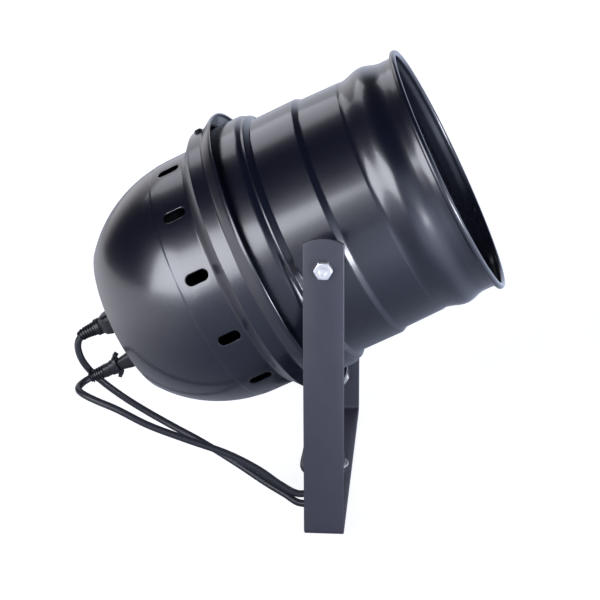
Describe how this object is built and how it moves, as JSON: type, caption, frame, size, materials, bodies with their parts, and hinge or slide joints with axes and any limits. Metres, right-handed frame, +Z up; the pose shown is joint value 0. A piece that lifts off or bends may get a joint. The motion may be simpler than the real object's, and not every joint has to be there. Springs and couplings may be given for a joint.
{
  "type": "led par can",
  "caption": "Spun black steel lamp can that tilts in a flat-bar yoke, with a vented rear casing and two plug-in leads, for stage light.",
  "frame": {"origin": "centre of the clamp hole at the underside of the yoke's crossbar", "axes": "+Z up from the crossbar to the pivots, +Y along the tilt axis to the far arm, +X to the side that the beam leaves"},
  "size_m": [0.3639, 0.5417, 0.3686],
  "materials": {
    "can_paint": "black satin paint on spun steel",
    "yoke_paint": "dark satin powder coat",
    "zinc": "bright zinc plate",
    "black_oxide": "black oxide",
    "steel": "plain sheet and wire",
    "aluminium": "mill finish",
    "brass": "turned",
    "plastic": "moulded black",
    "cable": "black sheath with a soft sheen",
    "circuit_board": "solder mask",
    "clear_lens": "clear"
  },
  "bodies": {
    "yoke": {"yoke": "yoke_paint", "clamp_washer": "zinc", "clamp_nut": "black_oxide", "arm_bolt": "zinc", "arm_nut": "zinc", "mains_cord": "cable", "mains_coil": "cable", "mains_tie": "plastic", "mains_plug": "plastic", "data_cord": "cable", "data_coil": "cable", "data_tie": "plastic", "data_plug": "plastic"},
    "can": {"front_barrel": "can_paint", "rear_casing": "can_paint", "led_carrier": "aluminium", "led_board": "circuit_board", "lens_bezel": "plastic", "lens_plate": "clear_lens", "retaining_ring": "steel", "heat_sink": "aluminium", "chassis_bracket": "steel", "power_supply": "aluminium", "control_board": "circuit_board", "board_standoff_1": "brass", "board_standoff_2": "brass", "board_standoff_3": "brass", "board_standoff_4": "brass", "bracket_screw_1": "black_oxide", "bracket_screw_2": "black_oxide", "power_inlet": "plastic", "power_connector": "plastic", "power_boot": "plastic", "data_socket": "plastic", "data_connector": "plastic", "data_boot": "plastic", "casing_screw_top": "black_oxide", "casing_spacer_top": "zinc", "casing_nut_top": "zinc", "casing_screw_bottom": "black_oxide", "casing_spacer_bottom": "zinc", "casing_nut_bottom": "zinc", "pivot_bolt_near": "zinc", "pivot_bush_near": "zinc", "pivot_washer_near": "zinc", "pivot_nut_near": "zinc", "pivot_bolt_far": "zinc", "pivot_bush_far": "zinc", "pivot_washer_far": "zinc", "pivot_nut_far": "zinc", "supply_lead": "cable", "signal_lead": "cable", "board_lead": "cable"},
    "latch": {"data_latch": "plastic"}
  },
  "joints": [
    {"name": "tilt", "type": "hinge", "parent": "yoke", "child": "can", "pos_m": [0, 0, 0.2245], "axis": [0, 1, 0], "range_deg": [-23.4, 116.6], "deforming": ["mains_cord", "data_cord"]},
    {"name": "latch_push", "type": "slide", "parent": "can", "child": "latch", "axis": [0.4478, 0, -0.8942], "range_m": [0, 0.001], "stiffness_N_per_m": 300, "springref_m": -0.0005}
  ]
}
